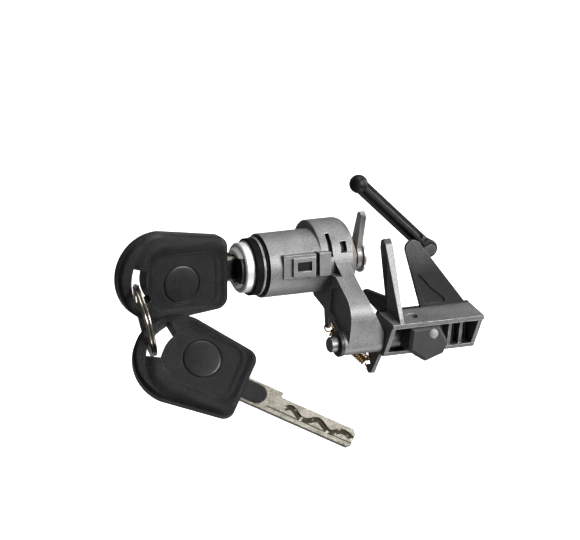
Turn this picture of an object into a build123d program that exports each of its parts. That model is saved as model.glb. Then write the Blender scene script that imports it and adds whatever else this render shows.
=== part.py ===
"""Tailgate lock cylinder with its keys, release lever and push rod, in millimetres.

X runs along the lock from the key side to the inside of the tailgate, Y points away from the
viewer of the lock's window side and Z is up.  The origin lies on the lock's axis, in the
shoulder of the barrel that seats against the tailgate panel.
"""
from build123d import *
import math
import os

# Lock barrel, a die casting
barrel_r = 14.8
barrel_len = 44.0
spigot_r = 12.2
spigot_len = 6.5
seal_rib_r = 13.5
seal_rib_x = -2.6
seal_rib_len = 1.0
housing_bore_r = 10.95
rear_wall = 2.2
tail_bore_r = 5.06
rear_chamfer = 3.0

# Hood cast over the rear of the barrel
hood_r = 16.8
hood_y = 2.6
hood_rise = 1.3
hood_len = 18.7
hood_round = 5.0
hood_lip = 0.8

# Locating lug with its window, on the side that faces the viewer
lug_start = 6.0
lug_len = 15.4
lug_low = -3.4
lug_high = 7.3
lug_step = 0.9
lug_ramp = 1.3
window_start = 12.0
window_len = 7.2
window_low = 3.0
window_high = 4.5
window_rim = 1.9
window_raise = 0.5
window_depth = 1.2
stop_len = 5.6
stop_gap = 1.9

# Grooves and openings of the barrel's rear half
groove_depth = 1.0
slot_back = 14.8
slot_wide = 2.2
slot_low = 4.0
slot_high = 14.0
slot_depth = 3.2
port_back = 8.6
port_wide = 3.2
port_low = 5.4
port_high = 10.4
port_line = 0.6
port_line_len = 6.2

# Arm and pivot boss
arm_back = 14.4
web_t = 3.0
web_sunk = 1.2
flange_t = 3.6
flange_top_w = 9.4
flange_foot_w = 17.4
notch_low = -3.7
notch_in = 3.2
pivot_y = -29.4
pivot_z = -32.7
boss_r = 5.6
boss_lead = 1.6
boss_len = 19.0
pin_r = 3.0
pin_clear = 0.06
pin_head_r = 3.6
pin_head_len = 3.8
pin_washer_r = 6.0
pin_washer_t = 2.0
pin_proud = 0.2
pin_clip_t = 0.9
pin_clip_r = 4.6
clip_room = 0.5

seal_fit = 0.05

# Sleeve that lines the housing
collar_r = 11.6
collar_start = -10.5
sleeve_clear = 0.05
sleeve_gap = 0.3
head_bore_r = 9.7
head_depth = 3.5
core_r = 8.0
core_clear = 0.06
broach_w = 7.6
broach_r = 9.2

# Plug
plug_start = -9.0
plug_tail_r = 5.0
square_side = 7.0
square_lead = 0.4
stub_proud = 0.3
cap_start = -12.2
cap_r = 9.5
cap_slot_w = 5.2
cap_slot_h = 13.0
cap_band = 11.8
cap_floor = 0.8
shutter_gap = 0.1
shutter_sunk = 0.3

# Key
blade_t = 2.9
blade_wide = 11.2
blade_step = 2.4
bow_edge = 23.0
neck_len = 17.0
bit_len = 37.0
tang_len = 13.0
tang_w = 8.0
tongue_len = 10.5
tongue_w = 9.0
tongue_t = 4.2
bow_t = 8.4
bow_round = 1.5
bow_corner = 5.5
bow_neck_low = 15.8
bow_neck_high = 17.0
bow_back = 9.5
bow_half = 20.7
bow_reach = 30.5
field_left = 14.6
field_right = 16.4
field_wide = 25.0
field_up = 2.6
field_corner = 6.0
field_depth = 0.6
field_slope = 50.0
seam_wide = 0.4
seam_depth = 0.35
eye_line = ((-17.8, 11.5), (-20.9, 4.0), (-20.2, -4.6))
cap_disc_r = 8.8
cap_disc_up = 3.9
cap_disc_t = 1.2
eye_w = 7.0
track_w = 2.5
track_depth = 0.8
key_clear = 0.15
key_gap = 0.4
bow_edge_x = -16.4
tip_cut = 1.8
track_start = 3.0
track_step = 3.9
track_waves = 10
track_turn = 1.9
track_swing = 1.5
cap_gap = 0.1
cap_proud = 0.25
cap_edge = 0.4

# Where the spare key hangs, and the split ring that holds it
spare_origin = (-40.47, -24.45, -38.06)
spare_along = (0.794, -0.463, -0.392)
spare_face = (-0.211, -0.818, 0.535)
ring_centre = (-57.8, -4.0, -18.5)
ring_axis = (0.953, -0.212, 0.216)
ring_r = 15.9
ring_w = 2.2
ring_t = 1.4
ring_pitch = 1.5
ring_turns = 1.9

# Wafers
wafer_count = 9
wafer_first = 8.0
wafer_pitch = 3.5
wafer_t = 0.9
wafer_w = 6.6
wafer_h = 15.2
wafer_travel = 0.7
wafer_clear = 0.12

# Cam lever on the plug's tail
cam_gap = 3.3
cam_t = 2.6
cam_hub_r = 6.6
cam_reach = 23.6
cam_root_w = 7.6
cam_tip_w = 4.6
cam_lean = 20.0
cam_washer_r = 8.0
cam_washer_t = 1.0
cam_clip_r = 4.6
cam_clip_t = 0.6
stub_r = 2.9
square_clear = 0.04

# Springs
return_coil_r = 7.3
return_wire_r = 0.45
return_pitch = 1.05
return_turns = 2.0
return_leg = 5.0
spring_gap = 0.1
pull_coil_r = 2.3
pull_wire_r = 0.4
pull_pitch = 1.15
wire_sides = 6
hook_r = 1.9
ear_in = 0.3
ear_y = -10.0
ear_z = -28.2
ear_t = 1.3
ear_r = 2.2
ear_hole_r = 0.7

# Release lever, a casting that swings on the pivot pin
lever_gap = 0.4
lever_len = 45.8
wall = 2.0
shelf_y = -45.0
shelf_z = -22.6
shelf_back_y = -29.0
shelf_back_z = -19.6
trough_z = -39.8
trough_y = -34.0
back_y = -27.0
horn_y = -17.6
horn_z = -49.4
horn_t = 1.8
finger_in = 3.8
finger_t = 3.5
finger_foot_t = 1.6
lever_tube_r = 5.4
lever_tube_len = 10.8
head_in = 17.4
head_z = 8.0
head_r = 3.9
shelf_hole_in = 13.2
shelf_hole_r = 2.6
wall_foot_in = 22.7
wall_pocket = [(17.8, -1.4), (26.4, -11.2), (35.0, -18.5), (23.2, -18.8)]
wall_pocket_r = 1.0
wall_sunk = 0.9
rib_places = (32.4, 38.0)
rib_t = 1.4
rib_back = 8.0

# Buffer block clipped into the lever
buffer_in = 7.6
buffer_len = 20.0
buffer_back = -35.8
buffer_deep = 10.0
buffer_slope = 1.4
buffer_drop = 16.6
buffer_toe_in = 8.4
buffer_heel_in = 2.4
buffer_heel_rise = 3.0
buffer_left_rise = 6.2
buffer_right_rise = 8.0
buffer_top_left = 1.4
buffer_top_right = 4.4
buffer_pin_in = 20.0
buffer_pin_z = -28.4
buffer_pin_r = 2.5

# Push rod with its ball
rod_core_r = 1.9
rod_fin_r = 3.4
rod_fin_t = 1.5
rod_ball_r = 4.3
rod_length = 47.7
rod_tilt = 136.1
rod_gap = 0.3
rod_in = 26.7
rod_z = 6.4
rod_seat_r = 2.4
rod_eye_r = 4.2
rod_eye_t = 7.2
rod_stud_r = 2.1
rod_stud_clear = 0.06
rod_clip_r = 3.4
rod_clip_t = 0.8
rod_collar = 1.6

os.makedirs("parts", exist_ok=True)


def save(piece, name):
    """Labels one finished piece and writes it to its own file."""
    piece.part.label = name
    export_step(piece.part, f"parts/{name}.step")


def across(x):
    """The plane square to the lock's axis at this x, drawn in Y and Z."""
    return Plane.YZ.offset(x)


def round_bar(radius, start, end, centre=(0, 0), mode=Mode.ADD):
    """A round bar, or with SUBTRACT a bore, along X from start to end."""
    with BuildSketch(across(start)) as profile:
        with Locations(centre):
            Circle(radius)
    extrude(profile.sketch, amount=end - start, mode=mode)


def block(y_span, z_span, x_span, mode=Mode.ADD):
    """A rectangular block or pocket given by its low and high sides."""
    y_low, y_high = y_span
    z_low, z_high = z_span
    with BuildSketch(across(x_span[0])) as profile:
        with Locations(((y_low + y_high) / 2, (z_low + z_high) / 2)):
            Rectangle(y_high - y_low, z_high - z_low)
    extrude(profile.sketch, amount=x_span[1] - x_span[0], mode=mode)


def plate(points, start, end, mode=Mode.ADD):
    """A flat plate square to X with the outline given in Y and Z."""
    with BuildSketch(across(start)) as profile:
        with BuildLine():
            Polyline(*points, close=True)
        make_face()
    extrude(profile.sketch, amount=end - start, mode=mode)


hood_start = barrel_len - hood_len
slot_x = barrel_len - slot_back
port_x = barrel_len - port_back
arm_x = barrel_len - arm_back
boss_start = arm_x - boss_lead
ear_x = arm_x + ear_in
sleeve_end = barrel_len - rear_wall - sleeve_gap
cam_x = barrel_len + cam_gap
square_start = cam_x - square_lead
lever_start = boss_start + boss_len + lever_gap
lever_end = lever_start + lever_len
lever_tube_end = lever_start + lever_tube_len
finger_x = lever_start + finger_in
head_x = lever_start + head_in
wall_foot_x = lever_start + wall_foot_in
rod_x = lever_start + rod_in
buffer_start = lever_start + buffer_in
buffer_end = buffer_start + buffer_len
barrel_side = -barrel_r
pivot = (pivot_y, pivot_z)
pin_bore_r = pin_r + pin_clear
arm_front = [(-12.0, 5.0), (-20.9, -3.6), (-29.0, -8.6), (-35.3, -13.2), (-37.6, -18.6), (-36.9, -25.6),
             (pivot_y - boss_r, pivot_z)]
web_back = [(-24.5, -35.6), (-20.5, -29.5), (-13.4, -25.0), (-6.4, -21.0), (4.0, -18.0), (8.0, -12.0), (0.0, 0.0)]
web_pocket = [(-22.4, -7.6), (-29.4, -12.0), (-33.2, -15.2), (-34.8, -19.2), (-34.2, -25.0), (-24.0, -28.8),
              (-13.6, -21.4), (-15.4, -10.4)]
arm_depth = boss_r - pivot_y + barrel_r
flange_side = [(flange_top_w, 8.0), (flange_top_w, -4.0), (flange_top_w + 0.4, -11.6), (12.2, -18.6),
               (flange_foot_w, -28.5)]

# Arm of the housing: a web, a front flange that spreads to the foot, and the pivot boss
with BuildPart() as arm:
    plate(arm_front + web_back, arm_x, arm_x + web_t)
    with BuildSketch(across(arm_x)) as flange_profile:
        with BuildLine():
            front_line = Spline(*arm_front)
            back_line = Spline(*[(y + flange_t, z) for y, z in reversed(arm_front)])
            Line(front_line @ 1, back_line @ 0)
            Line(back_line @ 1, front_line @ 0)
        make_face()
    extrude(amount=flange_foot_w)
    with BuildSketch(Plane.XZ):
        with BuildLine():
            side_line = Spline(*[(arm_x + reach, z) for reach, z in flange_side])
            Polyline(side_line @ 1, (arm_x + flange_foot_w + 9, flange_side[-1][1]), (arm_x + flange_foot_w + 9, 8),
                     side_line @ 0)
        make_face()
    extrude(amount=arm_depth, mode=Mode.SUBTRACT)
    with BuildSketch(Plane.XZ):
        with BuildLine():
            Polyline((arm_x, notch_low), (arm_x + notch_in, notch_low), (arm_x + notch_in / 4, 8), (arm_x, 8),
                     close=True)
        make_face()
    extrude(amount=arm_depth, mode=Mode.SUBTRACT)
    # The web lies sunken between the flange and a rim
    plate(web_pocket, arm_x, arm_x + web_sunk, mode=Mode.SUBTRACT)
    round_bar(boss_r, boss_start, boss_start + boss_len, pivot)

with BuildPart() as housing:
    # The hood lies eccentric over the barrel, so that it fades out on the window side
    round_bar(hood_r, hood_start, barrel_len, (hood_y, hood_rise))
    fillet(housing.edges().filter_by(GeomType.CIRCLE).sort_by(Axis.X)[-1], hood_round)
    fillet(housing.edges().filter_by(GeomType.CIRCLE).sort_by(Axis.X)[0], hood_lip)
    round_bar(barrel_r, 0, barrel_len - rear_chamfer)
    with BuildSketch(across(barrel_len - rear_chamfer)):
        Circle(barrel_r)
    extrude(amount=rear_chamfer, taper=45)
    round_bar(spigot_r, -spigot_len, 0)
    round_bar(seal_rib_r, seal_rib_x, seal_rib_x + seal_rib_len)
    # The lug is a wedge that rises towards the inside, and the stop stands behind it
    lug_face = [(lug_start, barrel_side - lug_step), (lug_start + lug_len, barrel_side - lug_step - lug_ramp),
                (lug_start + lug_len, barrel_side + 4), (lug_start, barrel_side + 4)]
    with BuildSketch(Plane.XY.offset(lug_low)):
        with BuildLine():
            Polyline(*lug_face, close=True)
        make_face()
    extrude(amount=lug_high - lug_low)
    block((barrel_side - lug_step - lug_ramp, barrel_side + 4), (lug_low, lug_high),
          (lug_start + lug_len, lug_start + lug_len + stop_gap + stop_len))
    block((barrel_side - lug_step - lug_ramp - window_raise, barrel_side),
          (lug_low + window_low - window_rim, lug_low + window_low + window_high + window_rim),
          (window_start - window_rim, window_start + window_len + window_rim))
    add(arm.part)
    # Ear that takes the hook of the pull spring
    with BuildSketch(across(ear_x)):
        with Locations((ear_y, ear_z), (ear_y + 1, ear_z + 8)):
            Circle(ear_r)
        make_hull()
    extrude(amount=ear_t)
    round_bar(ear_hole_r, ear_x, ear_x + ear_t, (ear_y, ear_z), mode=Mode.SUBTRACT)
    # Openings
    round_bar(housing_bore_r, -spigot_len, barrel_len - rear_wall, mode=Mode.SUBTRACT)
    round_bar(tail_bore_r, 0, barrel_len, mode=Mode.SUBTRACT)
    round_bar(pin_bore_r, boss_start, boss_start + boss_len, pivot, mode=Mode.SUBTRACT)
    for start, wide, low, high, depth in ((slot_x, slot_wide, slot_low, slot_high, slot_depth),
                                          (port_x, port_wide, port_low, port_high, slot_depth),
                                          (port_x, port_line_len, port_low, port_low + port_line, port_line)):
        with BuildSketch(across(start)):
            with Locations((hood_y - hood_r, (low + high) / 2)):
                Rectangle(2 * hood_r, high - low)
            with Locations((hood_y, hood_rise)):
                Circle(hood_r - depth, mode=Mode.SUBTRACT)
        extrude(amount=wide, mode=Mode.SUBTRACT)
    block((barrel_side - 6, barrel_side + window_depth - lug_step - lug_ramp - window_raise),
          (lug_low + window_low, lug_low + window_low + window_high), (window_start, window_start + window_len),
          mode=Mode.SUBTRACT)
    with BuildSketch(across(lug_start + lug_len)):
        Circle(barrel_r + 6)
        Circle(barrel_r - groove_depth, mode=Mode.SUBTRACT)
        with Locations((-barrel_r, (lug_low + lug_high) / 2)):
            Rectangle(barrel_r, lug_high - lug_low, mode=Mode.INTERSECT)
    extrude(amount=stop_gap, mode=Mode.SUBTRACT)
save(housing, "housing")

# Seals on the spigot, and the sleeve that lines the bore
with BuildPart() as face_seal:
    round_bar(seal_rib_r - 0.3, -spigot_len + 0.1, seal_rib_x - seal_fit)
    chamfer(face_seal.edges().filter_by(GeomType.CIRCLE).sort_by(Axis.X)[0], 0.5)
    round_bar(spigot_r + seal_fit, -spigot_len, 0, mode=Mode.SUBTRACT)
save(face_seal, "face_seal")

with BuildPart() as panel_seal:
    round_bar(seal_rib_r + 0.2, seal_rib_x + seal_rib_len + seal_fit, -seal_fit)
    chamfer(panel_seal.edges().filter_by(GeomType.CIRCLE), 0.4)
    round_bar(spigot_r + seal_fit, -spigot_len, 0, mode=Mode.SUBTRACT)
save(panel_seal, "panel_seal")

with BuildPart() as sleeve:
    round_bar(collar_r, collar_start, -spigot_len - seal_fit)
    chamfer(sleeve.edges().filter_by(GeomType.CIRCLE).sort_by(Axis.X)[0], 0.6)
    round_bar(housing_bore_r - sleeve_clear, -spigot_len - seal_fit, sleeve_end)
    round_bar(core_r + core_clear, collar_start, sleeve_end, mode=Mode.SUBTRACT)
    round_bar(head_bore_r, collar_start, head_depth, mode=Mode.SUBTRACT)
    # Broached grooves that take the wafers when the key is out
    for wide, high in ((broach_w, 2 * broach_r), (2 * broach_r, broach_w)):
        block((-wide / 2, wide / 2), (-high / 2, high / 2), (head_depth, sleeve_end - 2), mode=Mode.SUBTRACT)
save(sleeve, "cylinder_sleeve")

# Keys: the blade is drawn along local X from the middle of the bow, the bow's width along Y
shoulder = bow_edge + neck_len
tip = shoulder + bit_len
blade_low = -blade_wide / 2
bit_high = blade_wide / 2 - blade_step
field_level = bow_t / 2 - field_depth


def key_blade(plane, name):
    """The steel blade of a key with its tang, its neck and a wavy track milled in each face."""
    with BuildPart() as blade:
        with BuildSketch(plane.offset(-blade_t / 2)):
            with BuildLine():
                Polyline((bow_edge - tang_len, -tang_w / 2), (bow_edge, -tang_w / 2), (bow_edge, blade_low),
                         (tip - tip_cut, blade_low), (tip, blade_low + tip_cut), (tip, bit_high - tip_cut),
                         (tip - tip_cut, bit_high), (shoulder, bit_high), (shoulder, blade_wide / 2),
                         (bow_edge, blade_wide / 2), (bow_edge, tang_w / 2), (bow_edge - tang_len, tang_w / 2),
                         close=True)
            make_face()
        extrude(amount=blade_t)
        middle = (blade_low + bit_high) / 2
        waves = [(shoulder + track_start + n * track_step, middle + track_swing * math.sin(track_turn * n))
                 for n in range(track_waves)]
        for side in (-1, 1):
            with BuildSketch(plane.offset(side * (blade_t / 2 - track_depth))):
                with BuildLine():
                    Spline(*[(a, middle + side * (b - middle)) for a, b in waves])
                trace(line_width=track_w)
            extrude(amount=side * 2 * track_depth, mode=Mode.SUBTRACT)
    save(blade, name)


def key_bow(plane, name):
    """The moulded bow of a key, with its eye for the ring, its tongue and its round recesses."""
    with BuildPart() as bow:
        with BuildSketch(plane.offset(-bow_t / 2)) as outline:
            with BuildLine():
                Line((bow_edge, -bow_neck_low), (bow_edge, bow_neck_high))
                Line((bow_edge, bow_neck_high), (-bow_back, bow_half))
                ThreePointArc((-bow_back, bow_half), (-bow_reach, 0), (-bow_back, -bow_half))
                Line((-bow_back, -bow_half), (bow_edge, -bow_neck_low))
            make_face()
            fillet(outline.vertices(), bow_corner)
        extrude(amount=bow_t)
        chamfer(bow.faces().filter_by(lambda face: abs(face.normal_at().dot(plane.z_dir)) > 0.99).edges(), bow_round)
        with BuildSketch(plane.offset(-tongue_t / 2)):
            with Locations((bow_edge + tongue_len / 2 - tongue_w / 4, 0)):
                Rectangle(tongue_len - tongue_w / 2 + 1, tongue_w)
            with Locations((bow_edge + tongue_len - tongue_w / 2, 0)):
                Circle(tongue_w / 2)
        extrude(amount=tongue_t)
        with BuildSketch(plane.offset(-bow_t / 2)):
            with BuildLine():
                ThreePointArc(*eye_line)
            trace(line_width=eye_w)
        extrude(amount=bow_t, mode=Mode.SUBTRACT)
        # The seam between the two halves, along the edge
        with BuildSketch(plane.offset(-seam_wide / 2)):
            add(outline.sketch.moved(Location(plane.z_dir * (bow_t - seam_wide) / 2)))
            offset(amount=-seam_depth, kind=Kind.INTERSECTION, mode=Mode.SUBTRACT)
        extrude(amount=seam_wide, mode=Mode.SUBTRACT)
        # Pocket for the blade, and in each face a sunken field with a round recess for its cap
        with BuildSketch(plane.offset(-blade_t / 2)):
            with Locations((bow_edge - tang_len / 2, 0)):
                Rectangle(tang_len, tang_w)
            with Locations((bow_edge + tongue_len / 2 + 1, 0)):
                Rectangle(tongue_len + 2, blade_wide)
        extrude(amount=blade_t, mode=Mode.SUBTRACT)
        for side in (-1, 1):
            face = Plane(origin=plane.origin, x_dir=plane.x_dir, z_dir=side * plane.z_dir)
            with BuildSketch(face.offset(field_level)):
                with Locations(((field_right - field_left) / 2, side * field_up)):
                    RectangleRounded(field_right + field_left, field_wide, field_corner)
            extrude(amount=field_depth, taper=-field_slope, mode=Mode.SUBTRACT)
            with BuildSketch(face.offset(field_level - cap_disc_t)):
                with Locations((0, side * cap_disc_up)):
                    Circle(cap_disc_r + cap_gap)
            extrude(amount=cap_disc_t, mode=Mode.SUBTRACT)
    save(bow, name)


def key_caps(plane, name):
    """The two round caps set into the faces of a bow, as a pair in one node."""
    with BuildPart() as caps:
        for side in (-1, 1):
            face = Plane(origin=plane.origin, x_dir=plane.x_dir, z_dir=side * plane.z_dir)
            with BuildSketch(face.offset(field_level - cap_disc_t)):
                with Locations((0, side * cap_disc_up)):
                    Circle(cap_disc_r)
            extrude(amount=cap_disc_t + cap_proud)
            outer = caps.edges().filter_by(GeomType.CIRCLE).sort_by(Axis(plane.origin, side * plane.z_dir))[-1]
            chamfer(outer, cap_edge)
    save(caps, name)


key_plane = Plane(origin=(bow_edge_x - bow_edge, 0, 0), x_dir=(1, 0, 0), z_dir=(0, 1, 0))
spare_plane = Plane(origin=spare_origin, x_dir=spare_along, z_dir=spare_face)
for plane, owner in ((key_plane, "key"), (spare_plane, "spare_key")):
    key_blade(plane, f"{owner}_blade")
    key_bow(plane, f"{owner}_bow")
    key_caps(plane, f"{owner}_caps")

# Split ring, two turns of flat wire
with BuildPart() as key_ring:
    ring_start = Vector(ring_centre) - Vector(ring_axis) * ring_pitch
    with BuildLine() as ring_path:
        Helix(ring_pitch, ring_pitch * ring_turns, ring_r, center=ring_start, direction=ring_axis)
    with BuildSketch(Plane(origin=ring_path.line @ 0, x_dir=ring_axis, z_dir=ring_path.line % 0)):
        Rectangle(ring_t, ring_w)
    sweep(path=ring_path.line, is_frenet=True)
save(key_ring, "key_ring")

# Plug: head, core and tail in one, with the keyway and the wafer slots cut through it
head_end = head_depth - core_clear
key_tip_x = bow_edge_x + neck_len + bit_len
shoulder_x = bow_edge_x + neck_len
half_blade = blade_t / 2 + key_clear
wafer_places = [wafer_first + n * wafer_pitch for n in range(wafer_count)]
core_end = barrel_len - rear_wall - core_clear
cam_back = cam_x + cam_t + core_clear
clip_x = cam_back + core_clear + cam_washer_t + core_clear
plug_end = clip_x + cam_clip_t + stub_proud
with BuildPart() as plug:
    round_bar(head_bore_r - core_clear, plug_start, head_end)
    round_bar(core_r, head_end, core_end)
    round_bar(plug_tail_r, core_end, square_start)
    block((-square_side / 2, square_side / 2), (-square_side / 2, square_side / 2),
          (square_start, cam_x + cam_t + core_clear))
    round_bar(stub_r, cam_x + cam_t, plug_end)
    chamfer(plug.edges().filter_by(GeomType.CIRCLE).sort_by(Axis.X)[0], 0.4)
    block((-half_blade, half_blade), (-bit_high - key_clear, blade_wide / 2 + key_clear),
          (plug_start, key_tip_x + key_gap), mode=Mode.SUBTRACT)
    block((-half_blade, half_blade), (-blade_wide / 2 - key_clear, blade_wide / 2 + key_clear),
          (plug_start, shoulder_x + key_gap), mode=Mode.SUBTRACT)
    block((-tongue_t / 2 - key_clear, tongue_t / 2 + key_clear), (-tongue_w / 2 - key_clear, tongue_w / 2 + key_clear),
          (plug_start, bow_edge_x + tongue_len + key_gap), mode=Mode.SUBTRACT)
    for x in wafer_places:
        block((-wafer_w / 2 - wafer_clear, wafer_w / 2 + wafer_clear), (-core_r - 1, core_r + 1),
              (x - wafer_clear, x + wafer_t + wafer_clear), mode=Mode.SUBTRACT)
save(plug, "plug")

with BuildPart() as plug_cap:
    round_bar(cap_r, cap_start, plug_start)
    chamfer(plug_cap.edges().filter_by(GeomType.CIRCLE).sort_by(Axis.X)[0], 1.2)
    block((-cap_r, cap_r), (-cap_band / 2, cap_band / 2), (cap_start, plug_start - cap_floor), mode=Mode.SUBTRACT)
    block((-cap_slot_w / 2, cap_slot_w / 2), (-cap_slot_h / 2, cap_slot_h / 2), (cap_start, plug_start),
          mode=Mode.SUBTRACT)
save(plug_cap, "plug_cap")

# Dark shutter in the band across the cap, with the mouth of the keyway
with BuildPart() as plug_shutter:
    with BuildSketch(across(cap_start + shutter_sunk)):
        Circle(cap_r - shutter_gap)
        Rectangle(2 * cap_r, cap_band - 2 * shutter_gap, mode=Mode.INTERSECT)
        Rectangle(cap_slot_w, cap_slot_h, mode=Mode.SUBTRACT)
    extrude(amount=plug_start - cap_floor - cap_start - shutter_sunk)
save(plug_shutter, "plug_shutter")

# Wafers, every other one sprung up and the rest down, with a window for the blade
for first, name in ((0, "wafers_up"), (1, "wafers_down")):
    with BuildPart() as wafers:
        for x in wafer_places[first::2]:
            with BuildSketch(across(x)):
                Rectangle(wafer_w, wafer_h)
                Circle(core_r - wafer_clear, mode=Mode.INTERSECT)
                with Locations((0, (blade_wide / 2 - bit_high) / 2)):
                    Rectangle(blade_t + 2 * key_clear, blade_wide / 2 + bit_high + 2 * wafer_travel + 4 * key_clear,
                              mode=Mode.SUBTRACT)
            extrude(amount=wafer_t)
    save(wafers, name)

# Cam lever on the square of the tail, with its washer and clip
with BuildPart() as cam_lever:
    with BuildSketch(across(cam_x)):
        Circle(cam_hub_r)
        tip_centre = cam_reach - cam_tip_w / 2
        Polygon((-cam_root_w / 2, 0), (cam_root_w / 2, 0), (cam_tip_w / 2, tip_centre), (-cam_tip_w / 2, tip_centre),
                rotation=cam_lean, align=None)
        with PolarLocations(tip_centre, 1, start_angle=90 + cam_lean):
            Circle(cam_tip_w / 2)
        Rectangle(square_side + 2 * square_clear, square_side + 2 * square_clear, mode=Mode.SUBTRACT)
    extrude(amount=cam_t)
save(cam_lever, "cam_lever")

with BuildPart() as cam_washer:
    round_bar(cam_washer_r, cam_back + core_clear, cam_back + core_clear + cam_washer_t)
    round_bar(stub_r + square_clear, cam_back, plug_end, mode=Mode.SUBTRACT)
save(cam_washer, "cam_washer")

with BuildPart() as cam_clip:
    round_bar(cam_clip_r, clip_x, clip_x + cam_clip_t)
    round_bar(stub_r + square_clear / 2, clip_x, clip_x + cam_clip_t, mode=Mode.SUBTRACT)
    block((-cam_clip_r, 0), (-stub_r / 2, stub_r / 2), (clip_x, clip_x + cam_clip_t), mode=Mode.SUBTRACT)
save(cam_clip, "cam_clip")

# Return spring behind the barrel, with a leg at each end
with BuildPart() as return_spring:
    coil_start = barrel_len + return_wire_r + spring_gap
    with BuildLine() as return_path:
        coil = Helix(return_pitch, return_pitch * return_turns, return_coil_r, center=(coil_start, 0, 0),
                     direction=(1, 0, 0))
        Line(coil @ 0, coil @ 0 - (coil % 0) * return_leg)
        Line(coil @ 1, coil @ 1 + (coil % 1) * return_leg)
    with BuildSketch(Plane(origin=return_path.wire() @ 0, z_dir=return_path.wire() % 0)):
        RegularPolygon(return_wire_r, wire_sides)
    sweep(path=return_path.wire(), is_frenet=True)
save(return_spring, "return_spring")

# Pivot pin through the boss and the lever, with its washer and clip
washer_x = boss_start - pin_washer_t - spring_gap
clip_start = lever_tube_end + spring_gap
pin_end = clip_start + pin_clip_t + pin_proud
with BuildPart() as pivot_pin:
    round_bar(pin_head_r, washer_x - spring_gap - pin_head_len, washer_x - spring_gap, pivot)
    chamfer(pivot_pin.edges().filter_by(GeomType.CIRCLE).sort_by(Axis.X)[0], 0.6)
    round_bar(pin_r, washer_x - spring_gap, pin_end, pivot)
save(pivot_pin, "pivot_pin")

with BuildPart() as pin_washer:
    round_bar(pin_washer_r, washer_x, washer_x + pin_washer_t, pivot)
    chamfer(pin_washer.edges().filter_by(GeomType.CIRCLE), 0.3)
    round_bar(pin_bore_r, washer_x - 1, boss_start, pivot, mode=Mode.SUBTRACT)
save(pin_washer, "pin_washer")

with BuildPart() as pin_clip:
    round_bar(pin_clip_r, clip_start, clip_start + pin_clip_t, pivot)
    round_bar(pin_r + square_clear / 2, clip_start, clip_start + pin_clip_t, pivot, mode=Mode.SUBTRACT)
    block((pivot_y - pin_clip_r, pivot_y), (pivot_z - pin_r / 2, pivot_z + pin_r / 2),
          (clip_start, clip_start + pin_clip_t), mode=Mode.SUBTRACT)
save(pin_clip, "pin_clip")

# Release lever: a shelf over a slanting trough, an end plate on the pivot, a finger and a tall back wall
shelf = [(shelf_y, shelf_z), (back_y, shelf_back_z), (back_y, shelf_back_z - wall), (shelf_y, shelf_z - wall)]
trough_end = [(shelf_y, shelf_z), (back_y, shelf_back_z), (back_y, trough_z), (trough_y, trough_z)]
horn_tip = [(horn_y - 2.4, horn_z + ear_r + 0.2), (horn_y + 1.4, horn_z + ear_r - 0.6),
            (horn_y + ear_r, horn_z - 0.8), (horn_y, horn_z - ear_r), (horn_y - 3.2, horn_z - 1.6)]
end_plate = [(shelf_y, shelf_z), (back_y, shelf_back_z), (-20.6, -27.0), (-20.0, -34.0), (-18.2, -37.5),
             (-17.6, -43.0)] + horn_tip + [(-29.5, trough_z), (trough_y, trough_z)]
back_web = [(-29.0, -13.6), (-5.0, -15.2), (-3.4, -16.4), (-5.0, -19.0), (-20.0, -22.6), (-29.0, -22.6)]
finger = [(shelf_y + 0.4, shelf_z - 0.4), (-27.9, 11.0), (-25.4, 13.2), (-22.6, 11.8), (-22.0, 8.6),
          (-27.6, -13.6), (-28.4, shelf_back_z - 1)]
horn = (horn_y, horn_z)
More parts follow.
